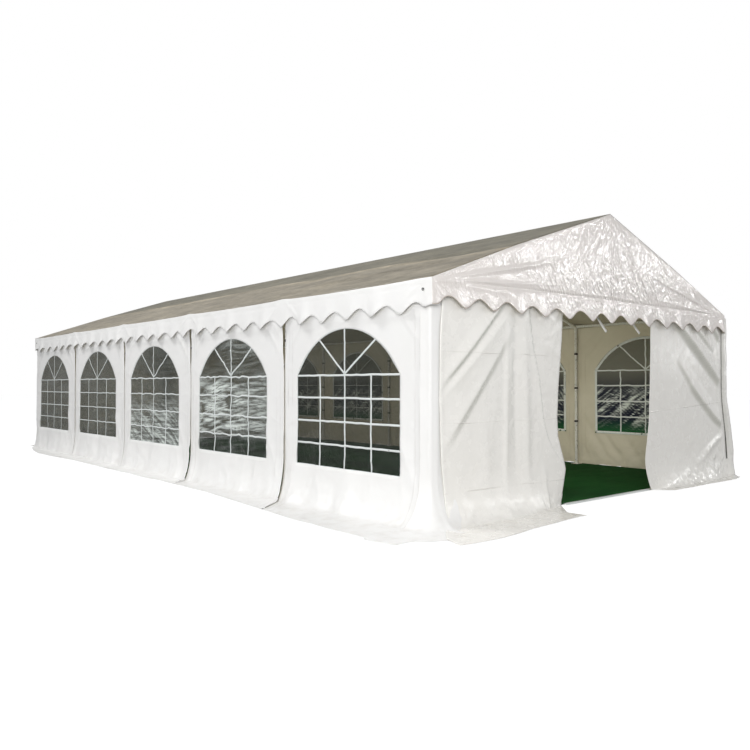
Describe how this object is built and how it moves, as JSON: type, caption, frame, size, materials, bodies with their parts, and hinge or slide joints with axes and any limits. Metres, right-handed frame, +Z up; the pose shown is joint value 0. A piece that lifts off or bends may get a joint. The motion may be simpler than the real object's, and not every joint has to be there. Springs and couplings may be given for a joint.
{
  "type": "frame marquee tent",
  "caption": "Frame marquee with a pitched sheet roof, wavy valances, arched window panels, ground flaps, and an open doorway with drawn curtains in one gable end.",
  "frame": {"origin": "on the ground, in the middle of the tent", "axes": "+X across the tent, to the right as seen from in front of the doorway; +Y along the tent, from the doorway to the back; +Z up"},
  "size_m": [5.9566, 11.0466, 2.8181],
  "materials": {
    "frame_steel": "galvanised, dull",
    "roof_sheet": "coated fabric, satin",
    "wall_sheet": "coated fabric, glossy white",
    "window_film": "clear soft film",
    "floor_carpet": "short green pile"
  },
  "bodies": {
    "root": {"post_left_1": "frame_steel", "post_left_2": "frame_steel", "post_left_3": "frame_steel", "post_left_4": "frame_steel", "post_left_5": "frame_steel", "post_left_6": "frame_steel", "post_right_1": "frame_steel", "post_right_2": "frame_steel", "post_right_3": "frame_steel", "post_right_4": "frame_steel", "post_right_5": "frame_steel", "post_right_6": "frame_steel", "rafter_left_1": "frame_steel", "rafter_left_2": "frame_steel", "rafter_left_3": "frame_steel", "rafter_left_4": "frame_steel", "rafter_left_5": "frame_steel", "rafter_left_6": "frame_steel", "rafter_right_1": "frame_steel", "rafter_right_2": "frame_steel", "rafter_right_3": "frame_steel", "rafter_right_4": "frame_steel", "rafter_right_5": "frame_steel", "rafter_right_6": "frame_steel", "eave_rail_left": "frame_steel", "eave_rail_right": "frame_steel", "ridge_rail": "frame_steel", "purlin_left": "frame_steel", "purlin_right": "frame_steel", "crossbar_front": "frame_steel", "crossbar_back": "frame_steel", "roof_left": "roof_sheet", "roof_right": "roof_sheet", "valance_left": "wall_sheet", "valance_right": "wall_sheet", "gable_front": "wall_sheet", "gable_back": "wall_sheet", "side_panel_left_1": "wall_sheet", "side_panel_left_2": "wall_sheet", "side_panel_left_3": "wall_sheet", "side_panel_left_4": "wall_sheet", "side_panel_left_5": "wall_sheet", "side_panel_right_1": "wall_sheet", "side_panel_right_2": "wall_sheet", "side_panel_right_3": "wall_sheet", "side_panel_right_4": "wall_sheet", "side_panel_right_5": "wall_sheet", "window_film_left": "window_film", "window_film_right": "window_film", "curtain_left": "wall_sheet", "curtain_right": "wall_sheet", "door_roll": "wall_sheet", "back_door": "wall_sheet", "back_panel_left": "wall_sheet", "back_panel_right": "wall_sheet", "floor_carpet": "floor_carpet"}
  },
  "joints": []
}
